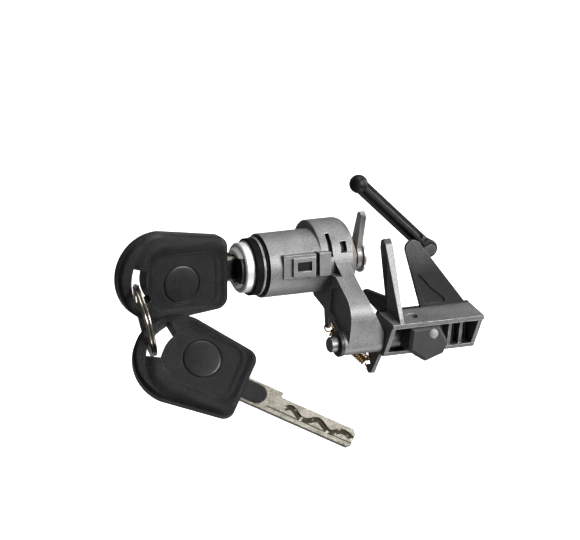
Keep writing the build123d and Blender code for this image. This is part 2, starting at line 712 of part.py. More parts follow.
with BuildPart() as release_lever:
    # The finger thins towards its foot
    plate(finger, finger_x, finger_x + finger_t)
    with BuildSketch(Plane.XZ.offset(-back_y - 10)):
        with BuildLine():
            Polyline((finger_x + finger_t, head_z), (finger_x + finger_foot_t, shelf_z - wall),
                     (finger_x + finger_t + 1, shelf_z - wall), (finger_x + finger_t + 1, head_z), close=True)
        make_face()
    extrude(amount=40, mode=Mode.SUBTRACT)
    plate(back_web, finger_x, finger_x + horn_t)
    plate(shelf, lever_start, lever_end)
    plate(end_plate, lever_start, lever_start + horn_t)
    plate(trough_end, lever_end - wall, lever_end)
    plate([(shelf_back_y, shelf_back_z - 0.6), (back_y, shelf_back_z), (back_y, trough_z), (shelf_back_y, trough_z)],
          lever_start, lever_end)
    plate([(trough_y, trough_z), (back_y, trough_z), (back_y, trough_z + wall), (trough_y - 1.4, trough_z + wall)],
          lever_start, lever_end)
    with BuildSketch(Plane.XZ.offset(-back_y)):
        with Locations((head_x, head_z)):
            Circle(head_r)
        with Locations((wall_foot_x, shelf_back_z - wall), (lever_end - wall, shelf_back_z - wall)):
            Circle(wall / 2)
        make_hull()
    extrude(amount=back_y - shelf_back_y)
    with BuildSketch(Plane.XZ.offset(-shelf_back_y)) as pocket:
        with BuildLine():
            Polyline(*[(lever_start + x, z) for x, z in wall_pocket], close=True)
        make_face()
        fillet(pocket.vertices(), wall_pocket_r)
    extrude(amount=-wall_sunk, mode=Mode.SUBTRACT)
    # Seat of the rod's stud, half the wall thick
    with BuildSketch(Plane.XZ.offset(-back_y)):
        with Locations((rod_x, rod_z)):
            Circle(rod_seat_r)
        with Locations((head_x + head_r, head_z - head_r)):
            Circle(head_r / 2)
        make_hull()
    extrude(amount=(back_y - shelf_back_y) / 2)
    round_bar(lever_tube_r, lever_start, lever_tube_end, pivot)
    # Ribs that stiffen the trough
    for x in [lever_start + place for place in rib_places]:
        plate([(shelf_y + rib_back, shelf_z), (back_y, shelf_back_z), (back_y, trough_z), (trough_y + 1, trough_z)],
              x, x + rib_t)
    # Stud for the rod's eye, at the back of the wall
    with BuildSketch(Plane.XZ.offset(-back_y)):
        with Locations((rod_x, rod_z)):
            Circle(rod_stud_r)
    extrude(amount=-(rod_gap + rod_eye_t + rod_gap + rod_clip_t))
    round_bar(pin_bore_r, lever_start, lever_tube_end, pivot, mode=Mode.SUBTRACT)
    round_bar(pin_clip_r + clip_room, lever_tube_end, pin_end + clip_room, pivot, mode=Mode.SUBTRACT)
    round_bar(ear_hole_r, lever_start, lever_start + horn_t, horn, mode=Mode.SUBTRACT)
    with BuildSketch(Plane.XY.offset(shelf_back_z)):
        with Locations((lever_start + shelf_hole_in, (shelf_y + shelf_back_y) / 2)):
            Circle(shelf_hole_r)
    extrude(amount=-8, mode=Mode.SUBTRACT)
save(release_lever, "release_lever")

# Buffer block in the mouth of the trough, with the pin that holds it
buffer_top = shelf_z - wall - 0.1
buffer_low = shelf_z - wall - buffer_drop
with BuildPart() as lever_buffer:
    with BuildSketch(Plane.XZ.offset(-buffer_back)) as buffer_face:
        with BuildLine():
            Polyline((buffer_start + buffer_top_left, buffer_top),
                     (buffer_start, buffer_low + buffer_left_rise),
                     (buffer_start + buffer_toe_in, buffer_low),
                     (buffer_end - buffer_heel_in, buffer_low + buffer_heel_rise),
                     (buffer_end, buffer_low + buffer_right_rise),
                     (buffer_end - buffer_top_right, buffer_top), close=True)
        make_face()
        fillet(buffer_face.vertices().group_by(Axis.Y)[0], 1.5)
    extrude(amount=buffer_deep)
    chamfer(lever_buffer.faces().sort_by(Axis.Y)[0].edges(), buffer_slope)
    with BuildSketch(Plane.XZ.offset(-buffer_back)):
        with Locations((lever_start + buffer_pin_in, buffer_pin_z)):
            Circle(buffer_pin_r)
    extrude(amount=buffer_deep, mode=Mode.SUBTRACT)
save(lever_buffer, "lever_buffer")

with BuildPart() as buffer_pin:
    with BuildSketch(Plane.XZ.offset(-buffer_back)):
        with Locations((lever_start + buffer_pin_in, buffer_pin_z)):
            Circle(buffer_pin_r)
    extrude(amount=buffer_deep + 0.8)
    chamfer(buffer_pin.edges().filter_by(GeomType.CIRCLE).sort_by(Axis.Y)[0], 0.4)
save(buffer_pin, "buffer_pin")

# Push rod: an eye on the lever's stud, a cross-shaped stem and a ball
rod_front = back_y + rod_gap
rod_mid = rod_front + rod_eye_t / 2
rod_along = Vector(math.cos(math.radians(rod_tilt)), 0, math.sin(math.radians(rod_tilt)))
rod_foot = Vector(rod_x, rod_mid, rod_z)
with BuildPart() as push_rod:
    with BuildSketch(Plane.XZ.offset(-rod_front)):
        with Locations((rod_x, rod_z)):
            Circle(rod_eye_r)
    extrude(amount=-rod_eye_t)
    chamfer(push_rod.edges().filter_by(GeomType.CIRCLE), 0.8)
    with BuildSketch(Plane(origin=rod_foot, x_dir=(0, 1, 0), z_dir=rod_along)):
        Circle(rod_core_r)
        Rectangle(2 * rod_fin_r, rod_fin_t)
        Rectangle(rod_fin_t, 2 * rod_fin_r)
    extrude(amount=rod_length - rod_ball_r * 0.6)
    with BuildSketch(Plane(origin=rod_foot + rod_along * (rod_eye_r + 0.6), x_dir=(0, 1, 0), z_dir=rod_along)):
        Circle(rod_fin_r)
    extrude(amount=rod_collar)
    with Locations(rod_foot + rod_along * rod_length):
        Sphere(rod_ball_r)
    with BuildSketch(Plane.XZ.offset(-rod_front + 1)):
        with Locations((rod_x, rod_z)):
            Circle(rod_stud_r + rod_stud_clear)
    extrude(amount=-rod_eye_t - 2, mode=Mode.SUBTRACT)
save(push_rod, "push_rod")

with BuildPart() as rod_clip:
    with BuildSketch(Plane.XZ.offset(-(rod_front + rod_eye_t + rod_gap))):
        with Locations((rod_x, rod_z)):
            Circle(rod_clip_r)
            Circle(rod_stud_r + square_clear / 2, mode=Mode.SUBTRACT)
        with Locations((rod_x + rod_clip_r / 2, rod_z)):
            Rectangle(rod_clip_r, rod_stud_r, mode=Mode.SUBTRACT)
    extrude(amount=-rod_clip_t)
save(rod_clip, "rod_clip")

# Pull spring from the ear on the arm to the lever's horn, with a round hook at each end
hole_line = Vector(0, horn_y - ear_y, horn_z - ear_z).normalized()
ear_point = Vector(ear_x + ear_t / 2, ear_y, ear_z)
horn_point = Vector(lever_start + horn_t / 2, horn_y, horn_z)
hook_ends = (ear_point + hole_line * hook_r, horn_point - hole_line * hook_r)
pull_along = (hook_ends[1] - hook_ends[0]).normalized()
hook_side = pull_along.cross(Vector(1, 0, 0)).normalized()
coil_low = hook_ends[0] + pull_along * (hook_r + pull_wire_r)
coil_high = hook_ends[1] - pull_along * (hook_r + pull_wire_r)
coil_len = (coil_high - coil_low).length
pull_turns = round(coil_len / pull_pitch)
with BuildPart() as pull_spring:
    with BuildLine() as coil_path:
        Helix(coil_len / pull_turns, coil_len, pull_coil_r, center=coil_low, direction=pull_along)
    with BuildSketch(Plane(origin=coil_path.line @ 0, z_dir=coil_path.line % 0)):
        RegularPolygon(pull_wire_r, wire_sides)
    sweep(path=coil_path.line, is_frenet=True)
    for ring_at, bar_at, coil_at in ((hook_ends[0], coil_low, 0), (hook_ends[1], coil_high, 1)):
        with BuildSketch(Plane(origin=ring_at, x_dir=pull_along, z_dir=pull_along.cross(hook_side))):
            with Locations((hook_r, 0)):
                RegularPolygon(pull_wire_r, wire_sides)
        revolve(axis=Axis(ring_at, hook_side))
        with BuildLine() as bar_path:
            Line(bar_at + (bar_at - (coil_path.line @ coil_at)) * 0.1, coil_path.line @ coil_at)
        with BuildSketch(Plane(origin=bar_path.line @ 0, z_dir=bar_path.line % 0)):
            RegularPolygon(pull_wire_r, wire_sides)
        sweep(path=bar_path.line)
save(pull_spring, "pull_spring")
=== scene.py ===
"""Dresses the tailgate lock set: castings, keys, ring, springs, pins, rod and a plain studio."""
import math

import bmesh
import bpy
import numpy as np
from bpy.props import FloatProperty, FloatVectorProperty, IntProperty, PointerProperty
from mathutils import Matrix, Vector


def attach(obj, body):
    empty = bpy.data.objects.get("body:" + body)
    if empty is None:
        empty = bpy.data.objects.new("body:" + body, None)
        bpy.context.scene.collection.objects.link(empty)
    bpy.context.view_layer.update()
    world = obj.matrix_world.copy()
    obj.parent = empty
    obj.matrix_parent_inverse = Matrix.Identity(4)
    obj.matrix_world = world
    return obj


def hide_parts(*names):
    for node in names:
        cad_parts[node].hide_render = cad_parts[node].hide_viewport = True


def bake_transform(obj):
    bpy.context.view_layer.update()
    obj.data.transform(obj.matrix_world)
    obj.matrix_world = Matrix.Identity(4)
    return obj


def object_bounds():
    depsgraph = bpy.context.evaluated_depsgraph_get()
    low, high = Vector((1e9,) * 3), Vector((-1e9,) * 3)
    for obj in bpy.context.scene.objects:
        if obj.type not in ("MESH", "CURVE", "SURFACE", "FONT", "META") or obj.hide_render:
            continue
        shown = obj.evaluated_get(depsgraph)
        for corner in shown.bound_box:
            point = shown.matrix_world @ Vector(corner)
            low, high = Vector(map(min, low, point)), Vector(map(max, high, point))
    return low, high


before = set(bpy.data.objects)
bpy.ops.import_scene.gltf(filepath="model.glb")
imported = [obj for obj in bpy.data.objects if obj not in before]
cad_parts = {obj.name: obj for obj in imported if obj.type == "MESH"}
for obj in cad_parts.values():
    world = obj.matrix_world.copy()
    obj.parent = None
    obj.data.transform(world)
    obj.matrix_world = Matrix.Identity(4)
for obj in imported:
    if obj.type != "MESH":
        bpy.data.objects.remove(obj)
CAD_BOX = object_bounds()
MM = 0.001

bl_info = {
    "name": "Tailgate Lock Set",
    "version": (1, 0, 0),
    "blender": (4, 5, 0),
    "location": "3D View > Sidebar > Lock Set",
    "description": "Finishes and fine pieces of a tailgate lock with its keys",
    "category": "Add Mesh",
}


# Shader helpers


def unit(vector):
    """The vector at length 1."""
    return np.asarray(vector) / np.linalg.norm(vector)


class Value:
    """One output socket that Python's own operators work on, each adding a Math node."""

    def __init__(self, shader, socket):
        self.shader = shader
        self.socket = socket

    def _math(self, operation, first, second=None):
        sockets = {0: first}
        if second is not None:
            sockets[1] = second
        return self.shader.add("ShaderNodeMath", {"operation": operation}, sockets)

    def __add__(self, other):
        return self._math("ADD", self, other)

    def __sub__(self, other):
        return self._math("SUBTRACT", self, other)

    def __rsub__(self, other):
        return self._math("SUBTRACT", other, self)

    def __mul__(self, other):
        return self._math("MULTIPLY", self, other)

    def __truediv__(self, other):
        return self._math("DIVIDE", self, other)

    def __pow__(self, other):
        return self._math("POWER", self, other)

    def size(self):
        """The value without its sign."""
        return self._math("ABSOLUTE", self)

    def floor(self):
        """The value, or 0 where it is less."""
        return self._math("MAXIMUM", self, 0.0)

    def clamp(self):
        """The value held between 0 and 1."""
        return self._math("MAXIMUM", self._math("MINIMUM", self, 1.0), 0.0)

    def over(self, edge, width):
        """0 below edge, 1 above edge plus width, and straight in between."""
        return ((self - edge) / width).clamp()

    def between(self, low, high, width=0.1):
        """1 from low to high and 0 outside, with straight edges of the given width."""
        return self.over(low, width) * (1.0 - self.over(high, width))


class Shader:
    """One material and the nodes that make its finish."""

    def __init__(self, name, color, rough, metal=0.0, coat=0.0, coat_rough=0.1, specular=0.5):
        self.material = bpy.data.materials.new(name)
        self.material.use_nodes = True
        self.tree = self.material.node_tree
        self.body = self.tree.nodes["Principled BSDF"]
        self.body.inputs["Base Color"].default_value = (*color, 1.0)
        self.body.inputs["Roughness"].default_value = rough
        self.body.inputs["Metallic"].default_value = metal
        self.body.inputs["Coat Weight"].default_value = coat
        self.body.inputs["Coat Roughness"].default_value = coat_rough
        self.body.inputs["Specular IOR Level"].default_value = specular
        self.material.diffuse_color = (*color, 1.0)

    def add(self, kind, settings, sockets, output=0):
        """Adds a node: its settings come first, then the value or link of each named socket."""
        node = self.tree.nodes.new(kind)
        for key, setting in settings.items():
            if key == "stops":
                ramp = node.color_ramp
                while len(ramp.elements) < len(setting):
                    ramp.elements.new(1.0)
                for element, (place, color) in zip(ramp.elements, setting):
                    element.position = place
                    element.color = (*color, 1.0)
            else:
                setattr(node, key, setting)
        for key, source in sockets.items():
            if isinstance(source, Value):
                self.tree.links.new(source.socket, node.inputs[key])
            else:
                node.inputs[key].default_value = source
        return Value(self, node.outputs[output])

    def drive(self, socket, source):
        """Links a value to one of the shader's own sockets."""
        self.tree.links.new(source.socket, self.body.inputs[socket])

    def along(self, direction, origin=(0.0, 0.0, 0.0)):
        """How far a point lies from the origin along a direction, in millimetres."""
        place = self.add("ShaderNodeTexCoord", {}, {}, "Object")
        way = unit(direction)
        reach = self.add("ShaderNodeVectorMath", {"operation": "DOT_PRODUCT"}, {0: place, 1: tuple(way / MM)},
                         "Value")
        return reach - float(way.dot(origin))

    def inside(self, direction, low, high):
        """1 between two places along a direction, with an edge 0.1 mm wide."""
        return self.along(direction).between(low, high)

    def noise(self, size, detail=2.0, rough=0.5):
        """Cloudy noise in the piece's own coordinates, whose grains are about size millimetres."""
        place = self.add("ShaderNodeTexCoord", {}, {}, "Object")
        place = self.add("ShaderNodeMapping", {}, {"Vector": place, "Scale": (1.0 / (size * MM),) * 3})
        sockets = {"Vector": place, "Scale": 1.0, "Detail": detail, "Roughness": rough}
        return self.add("ShaderNodeTexNoise", {}, sockets, "Fac")

    def mix(self, factor, first, second):
        """A colour between the first and the second by the factor."""
        sockets = {0: factor, 6: first if isinstance(first, Value) else (*first, 1.0),
                   7: second if isinstance(second, Value) else (*second, 1.0)}
        return self.add("ShaderNodeMix", {"data_type": "RGBA"}, sockets, 2)

    def rounded(self, radius):
        """The surface direction with every edge softened over a radius in millimetres."""
        return self.add("ShaderNodeBevel", {"samples": 6}, {"Radius": radius * MM})

    def edge(self, radius, sharp=9.0):
        """1 on an edge and 0 on open surface: how far the softened direction leans from the true one."""
        true = self.add("ShaderNodeNewGeometry", {}, {}, "Normal")
        lean = self.add("ShaderNodeVectorMath", {"operation": "DOT_PRODUCT"}, {0: self.rounded(radius), 1: true},
                        "Value")
        return ((1.0 - lean) * sharp).clamp()

    def recess_shade(self, reach):
        """Painted shade for recesses: 0 on open surface and towards 1 in a recess of the piece, by what lies within
        reach millimetres.
        """
        return 1.0 - self.add("ShaderNodeAmbientOcclusion", {"samples": 6, "only_local": True},
                              {"Distance": reach * MM}, "AO")

    def bump(self, height, depth, normal=None):
        """The surface direction with a height in 0 to 1 laid on it as bumps depth millimetres deep."""
        sockets = {"Height": height, "Distance": depth * MM, "Strength": 1.0}
        if normal is not None:
            sockets["Normal"] = normal
        return self.add("ShaderNodeBump", {}, sockets)

    def relief(self, height, depth, normal=None):
        """Sends bumps to the surface."""
        self.drive("Normal", self.bump(height, depth, normal))


def cast_metal(name, low, high, edge_color, rough, grain=0.55, pits=0.08, metal=0.42, marks=()):
    """Die-cast alloy: cloudy grey, sand-like grain, painted shade in recesses and lighter metal on rubbed edges.

    Each mark is a function that takes the shader and gives where it lies, from 0 to 1, and its colour.
    """
    cast = Shader(name, high, rough, metal)
    cloud = cast.noise(9.0, 3.0)
    fine = cast.noise(grain, 3.0, rough=0.65)
    rub = cast.edge(0.45) * cast.noise(3.0, 2.0).over(0.30, 0.25)
    base = cast.mix((cloud * 0.45 + fine * 1.1).over(0.56, 0.38), low, high)
    # Painted shade: recesses darkened towards a quarter of the low colour
    finish = cast.mix(cast.recess_shade(6.0).over(0.25, 0.6), base, tuple(0.25 * level for level in low))
    finish = cast.mix(rub, finish, edge_color)
    for mark in marks:
        place, color = mark(cast)
        finish = cast.mix(place, finish, color)
    cast.drive("Base Color", finish)
    cast.drive("Roughness", (cloud * 0.16 + fine * 0.14) + (rough - 0.15))
    cast.relief(fine * 0.8 + cloud * 0.2, pits, cast.rounded(0.3))
    return cast.material


# Places on the castings in millimetres
WINDOW_SPANS = ((12.0, 19.2), (-17.2, -15.5), (-0.4, 4.1))
SHELF_TOP = -20.9
WALL_FRONT = -29.6
WALL_REACH = 32.0
FINGER_FRONT = 29.6
FINGER_SPAN = (51.0, 55.0)
X_AXIS, Y_AXIS, Z_AXIS = (1.0, 0.0, 0.0), (0.0, 1.0, 0.0), (0.0, 0.0, 1.0)


def window_shadow(cast):
    """Painted shade: the window of the locating lug, black inside its rim."""
    spans = [cast.inside(axis, *span) for axis, span in zip((X_AXIS, Y_AXIS, Z_AXIS), WINDOW_SPANS)]
    return spans[0] * spans[1] * spans[2], (0.002, 0.002, 0.002)


def wall_shade(cast):
    """Painted shade on the lever's upright wall: darkest at its foot above the shelf and fading towards its head."""
    height = cast.along(Z_AXIS)
    behind = cast.along(Y_AXIS).over(WALL_FRONT, 0.2)
    fading = (1.5 - height.over(SHELF_TOP, WALL_REACH)).clamp()
    return behind * height.over(SHELF_TOP, 0.1) * fading * 0.93, (0.006, 0.006, 0.006)


def finger_highlight(cast):
    """Painted highlight on the sloping front of the lever's finger, which faces the front light, in fine specks."""
    front = cast.along((0.0, -0.9, 0.44)).over(FINGER_FRONT, 0.2)
    fine = cast.noise(0.6, 2.0)
    place = front * cast.inside(X_AXIS, *FINGER_SPAN) * cast.along(Z_AXIS).over(SHELF_TOP + 0.3, 0.3)
    return place * fine.over(0.30, 0.25), (0.28, 0.28, 0.275)


def turned_metal(name, color, dull, rough):
    """Plated or turned metal with a very fine grain and small cloudy stains."""
    steel = Shader(name, color, rough, 0.95)
    grain = steel.noise(0.25, 2.0)
    stain = steel.noise(4.0, 3.0)
    steel.drive("Base Color", steel.mix((stain * 0.7 + grain * 0.4).over(0.35, 0.5), dull, color))
    steel.drive("Roughness", grain * 0.18 + stain * 0.10 + (rough - 0.14))
    steel.relief(grain, 0.006, steel.rounded(0.2))
    return steel.material


def moulded_plastic(name, color, pale, rough, grain=0.35, depth=0.03, coat=0.0, soften=0.5, specular=0.5, form=None):
    """Moulded plastic: leathery fine grain, a faint cloud in the colour, and edges polished by use.

    A form is a function that takes the shader and the softened direction and gives the direction of a crowned face.
    """
    plastic = Shader(name, color, rough, 0.0, coat, 0.2, specular)
    fine = plastic.noise(grain, 3.0, rough=0.65)
    cloud = plastic.noise(7.0, 3.0)
    worn = plastic.edge(soften * 1.2, 4.0)
    plastic.drive("Base Color", plastic.mix((cloud * 0.3 + fine * 0.9 + worn * 0.5).over(0.52, 0.34), color, pale))
    plastic.drive("Roughness", fine * 0.20 + cloud * 0.12 - worn * 0.10 + (rough - 0.12))
    normal = plastic.rounded(soften)
    plastic.relief(fine, depth, normal if form is None else form(plastic, normal))
    return plastic.material


def soft_rubber(name, color, pale, rough):
    """Black rubber with a dusty bloom and a faint moulding texture."""
    rubber = Shader(name, color, rough, specular=0.1)
    dust = rubber.noise(2.5, 4.0)
    rubber.drive("Base Color", rubber.mix(dust.over(0.45, 0.35), color, pale))
    rubber.drive("Roughness", dust * 0.25 + (rough - 0.12))
    rubber.relief(rubber.noise(0.25, 2.0), 0.012, rubber.rounded(0.3))
    return rubber.material


def coppered_wire(name, color, dark):
    """Copper plated spring wire, darker where the plating has tarnished."""
    wire = Shader(name, color, 0.28, 0.95)
    tarnish = wire.noise(1.6, 3.0)
    wire.drive("Base Color", wire.mix(tarnish.over(0.35, 0.35), dark, color))
    wire.drive("Roughness", tarnish * 0.22 + 0.16)
    wire.relief(wire.noise(0.2, 2.0), 0.004)
    return wire.material


# Mesh helpers


def grid_mesh(name, points, material, body, replaced=(), closed_u=False, closed_v=False, caps=False):
    """Turns a grid of points, rows by columns, into one smooth piece that rides on a body.

    Each cell between neighbouring rows and columns becomes a quad, the last row or column joins the
    first where it is closed, and caps fill the first and last rows of a tube with one face each.
    """
    rows, columns = points.shape[:2]
    index = np.arange(rows * columns).reshape(rows, columns)
    across = np.concatenate([index, index[:1]], axis=0) if closed_u else index
    across = np.concatenate([across, across[:, :1]], axis=1) if closed_v else across
    quads = np.stack([across[:-1, :-1], across[:-1, 1:], across[1:, 1:], across[1:, :-1]], axis=-1).reshape(-1, 4)
    faces = quads.tolist()
    if caps:
        faces += [index[0][::-1].tolist(), index[-1].tolist()]
    return solid(name, points.reshape(-1, 3), faces, material, body, replaced)


def solid(name, vertices, faces, material, body, replaced=()):
    """Makes one piece from vertices in metres and faces, points its faces outwards and lets it ride."""
    mesh = bpy.data.meshes.new(name)
    mesh.from_pydata(np.asarray(vertices).tolist(), [], faces)
    mesh.update()
    piece = bpy.data.objects.new(name, mesh)
    bpy.context.scene.collection.objects.link(piece)
    work = bmesh.new()
    work.from_mesh(mesh)
    bmesh.ops.recalc_face_normals(work, faces=work.faces)
    work.to_mesh(mesh)
    work.free()
    mesh.polygons.foreach_set("use_smooth", np.ones(len(mesh.polygons), dtype=bool))
    mesh.materials.append(material)
    if replaced:
        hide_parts(*replaced)
    if body is not None:
        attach(piece, body)
    return piece


def tangents(path):
    """Unit tangents of a path given as rows of points, by central differences."""
    tangent = np.gradient(path, axis=0)
    return tangent / np.linalg.norm(tangent, axis=1, keepdims=True)


def frames_along(path):
    """Side and up of a path given as rows of points.

    The side starts square to the tangent and is carried on from row to row as the part of the last side that is
    square to the new tangent, so the section never twists.
    """
    tangent = tangents(path)
    start = np.array([1.0, 0.0, 0.0]) if abs(tangent[0, 0]) < 0.8 else np.array([0.0, 0.0, 1.0])
    side = np.empty_like(tangent)
    last = start
    for row, along in enumerate(tangent):
        last = unit(last - along * last.dot(along))
        side[row] = last
    return side, np.cross(tangent, side)


def tube(name, path, radius, sides, material, body, replaced=()):
    """A round wire: every point of the path carries a circle of the wire's radius, square to the path."""
    side, up = frames_along(path)
    angle = np.linspace(0.0, 2.0 * math.pi, sides, endpoint=False)
    ring = np.cos(angle)[None, :, None] * side[:, None, :] + np.sin(angle)[None, :, None] * up[:, None, :]
    return grid_mesh(name, path[:, None, :] + radius * ring, material, body, replaced, closed_v=True, caps=True)


def helix(start, axis, radius, pitch, turns, steps):
    """Points of a helix: start + axis p t + radius (e cos 2 pi t + (axis x e) sin 2 pi t), t from 0 to turns.

    p is the pitch, and e is square to the axis and to Y, which is where the solids' own coils begin.
    """
    axis = unit(axis)
    first = unit(np.array([-axis[2], 0.0, axis[0]]))
    second = np.cross(axis, first)
    t = np.linspace(0.0, turns, steps)[:, None]
    turn = 2.0 * math.pi * t
    return np.array(start) + axis * pitch * t + radius * (first * np.cos(turn) + second * np.sin(turn))


def turned(origin, axis, radii, heights, segments):
    """Vertices and faces of a turned solid whose outline starts and ends on its axis.

    A point of the outline at radius r and height h becomes a ring origin + axis h + r (e cos a + f sin a);
    the first and last points are single vertices, joined to their neighbour rings by triangles.
    """
    axis = unit(axis)
    first = unit(np.cross(axis, [0.3, 0.9, 0.1]))
    second = np.cross(axis, first)
    angle = np.linspace(0.0, 2.0 * math.pi, segments, endpoint=False)
    rim = np.cos(angle)[:, None] * first + np.sin(angle)[:, None] * second
    rings = origin + axis * heights[1:-1, None, None] + radii[1:-1, None, None] * rim
    poles = origin + np.outer(heights[[0, -1]], axis)
    vertices = np.concatenate([rings.reshape(-1, 3), poles])
    index = np.arange(rings.shape[0] * segments).reshape(-1, segments)
    wrapped = np.concatenate([index, index[:, :1]], axis=1)
    quads = np.stack([wrapped[:-1, :-1], wrapped[:-1, 1:], wrapped[1:, 1:], wrapped[1:, :-1]], axis=-1).reshape(-1, 4)
    faces = quads.tolist()
    for row, pole in ((0, index.size), (-1, index.size + 1)):
        faces += [[int(a), int(b), pole] for a, b in zip(wrapped[row, :-1], wrapped[row, 1:])]
    return vertices, faces


def join(parts):
    """Several lists of vertices and faces as one."""
    vertices, faces, count = [], [], 0
    for points, cells in parts:
        vertices.append(points)
        faces += [[corner + count for corner in cell] for cell in cells]
        count += len(points)
    return np.concatenate(vertices), faces


def assign(material, *nodes):
    """Gives CAD nodes one material."""
    for node in nodes:
        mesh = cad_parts[node].data
        mesh.materials.clear()
        mesh.materials.append(material)


# Settings


def color_setting(name, description, default):
    """A colour with its label and tooltip."""
    return FloatVectorProperty(name=name, description=description, subtype="COLOR", size=3, default=default)


class CastingSettings(bpy.types.PropertyGroup):
    housing_color: color_setting("Housing", "Alloy of the barrel and arm", (0.275, 0.275, 0.27))
    housing_shade: color_setting("Housing shade", "Darker clouds of the alloy", (0.13, 0.13, 0.13))
    lever_color: color_setting("Lever", "Alloy of the release lever", (0.20, 0.20, 0.20))
    lever_shade: color_setting("Lever shade", "Darker clouds of the lever", (0.08, 0.08, 0.08))
    rough: FloatProperty(name="Roughness", description="How dull the castings are", default=0.50, min=0.1, max=0.9)


class KeySettings(bpy.types.PropertyGroup):
    bow_color: color_setting("Bow", "Moulded bow of both keys", (0.002, 0.002, 0.0023))
    bow_pale: color_setting("Bow sheen", "Paler grain of the bow", (0.018, 0.018, 0.020))
    blade_color: color_setting("Blade", "Nickel of the blades", (0.55, 0.515, 0.44))
    blade_dull: color_setting("Blade stain", "Duller patches of the blades", (0.13, 0.12, 0.095))
    dome: FloatProperty(name="Cap crown", description="How far the round caps stand up in the middle",
                        default=0.35 * MM, min=0.0, max=1.0 * MM, subtype="DISTANCE", unit="LENGTH")


class WireSettings(bpy.types.PropertyGroup):
    copper: color_setting("Copper", "Plating of the springs", (0.66, 0.41, 0.18))
    tarnish: color_setting("Tarnish", "Dark plating of the springs", (0.20, 0.12, 0.055))
    sides: IntProperty(name="Wire sides", description="Faces round the wire of the springs", default=12, min=6, max=24)


class StageSettings(bpy.types.PropertyGroup):
    lens: FloatProperty(name="Lens", description="Focal length of the camera", default=300.0, min=35.0, max=500.0,
                        subtype="DISTANCE_CAMERA")
    floor_gap: FloatProperty(name="Floor gap", description="How far the floor lies below the set", default=12.0 * MM,
                             min=0.0, max=0.2, subtype="DISTANCE", unit="LENGTH")
    key_power: FloatProperty(name="Key light", description="Power of the main softbox", default=9.0, min=0.0,
                             max=200.0, subtype="POWER", unit="POWER")


# Operators


class LOCKSET_OT_castings(bpy.types.Operator):
    """Finishes the barrel, its bright sleeve and the release lever as bare castings"""

    bl_idname = "lockset.castings"
    bl_label = "Castings"

    def execute(self, context):
        look = context.scene.lockset_castings
        assign(cast_metal("die_cast_zinc", look.housing_shade, look.housing_color, (0.60, 0.60, 0.59), look.rough,
                          marks=(window_shadow,)), "housing")
        assign(cast_metal("dark_die_cast", look.lever_shade, look.lever_color, (0.62, 0.62, 0.60), look.rough + 0.02,
                         marks=(wall_shade, finger_highlight)), "release_lever")
        assign(cast_metal("bright_collar", (0.62, 0.62, 0.61), (0.85, 0.85, 0.84), (0.9, 0.9, 0.9), rough=0.42,
                          grain=0.5, pits=0.015, metal=0.35), "cylinder_sleeve")
        return {"FINISHED"}


class LOCKSET_OT_plug(bpy.types.Operator):
    """Finishes the plug, its cap, the wafers, the cam lever, pins, washers and clips"""

    bl_idname = "lockset.plug"
    bl_label = "Plug and small metal"

    def execute(self, context):
        assign(turned_metal("satin_nickel", (0.60, 0.58, 0.54), (0.34, 0.33, 0.31), 0.30), "plug")
        assign(cast_metal("silver_lobe", (0.78, 0.77, 0.74), (0.95, 0.94, 0.91), (0.95, 0.95, 0.93), rough=0.40,
                          grain=0.5, pits=0.03, metal=0.3), "plug_cap")
        assign(moulded_plastic("shutter_plastic", (0.010, 0.010, 0.010), (0.03, 0.03, 0.03), 0.5), "plug_shutter")
        assign(turned_metal("wafer_brass", (0.62, 0.47, 0.22), (0.38, 0.27, 0.12), 0.34), "wafers_up", "wafers_down")
        assign(cast_metal("zinc_plate", (0.30, 0.30, 0.29), (0.50, 0.50, 0.49), (0.75, 0.75, 0.74), rough=0.40,
                          grain=0.5, pits=0.02), "cam_lever")
        bright = turned_metal("bright_zinc_plate", (0.70, 0.70, 0.69), (0.45, 0.45, 0.45), 0.38)
        assign(bright, "cam_washer", "cam_clip", "pin_clip", "rod_clip")
        assign(turned_metal("turned_pin", (0.30, 0.30, 0.30), (0.15, 0.15, 0.15), 0.48), "pivot_pin")
        return {"FINISHED"}


class LOCKSET_OT_seals(bpy.types.Operator):
    """Finishes the two seals and the washer under the pin's head"""

    bl_idname = "lockset.seals"
    bl_label = "Seals"

    def execute(self, context):
        assign(soft_rubber("seal_rubber", (0.002, 0.002, 0.002), (0.007, 0.007, 0.007), 0.62),
               "face_seal", "panel_seal")
        assign(moulded_plastic("black_nylon", (0.010, 0.010, 0.010), (0.03, 0.03, 0.03), 0.4, grain=0.3, depth=0.01),
               "pin_washer")
        return {"FINISHED"}


class LOCKSET_OT_keys(bpy.types.Operator):
    """Finishes both keys, their bows, caps and blades"""

    bl_idname = "lockset.keys"
    bl_label = "Keys"

    def execute(self, context):
        look = context.scene.lockset_keys
        cap = moulded_plastic("smooth_cap", look.bow_color, look.bow_pale, 0.34, grain=0.6, depth=0.14, coat=0.25,
                              specular=0.3)
        for body, (origin, along, face) in KEY_PLANES.items():
            bow = moulded_plastic(f"{body}_grained_bow", look.bow_color, look.bow_pale, 0.34, grain=0.6, depth=0.45,
                                  coat=0.22, soften=1.7, specular=0.22, form=pillow(np.array(origin), along, face))
            assign(bow, f"{body}_bow")
            domed_caps(f"{body}_domed_caps", np.array(origin) * MM, unit(along), unit(face), look.dome, cap, body)
            assign(milled_blade(f"{body}_nickel", look, origin, along, face), f"{body}_blade")
        return {"FINISHED"}


KEY_PLANES = {
    "key": ((-39.4, 0.0, 0.0), (1.0, 0.0, 0.0), (0.0, 1.0, 0.0)),
    "spare_key": ((-40.47, -24.45, -38.06), (0.794, -0.463, -0.392), (-0.211, -0.818, 0.535)),
}
CAP_RADIUS = 8.8 * MM
CAP_UP = 3.9 * MM
CAP_FOOT = 2.4 * MM
CAP_EDGE = 3.15 * MM
CAP_ROLL = 0.55 * MM
CAP_ROWS = 22
CAP_SEGMENTS = 72
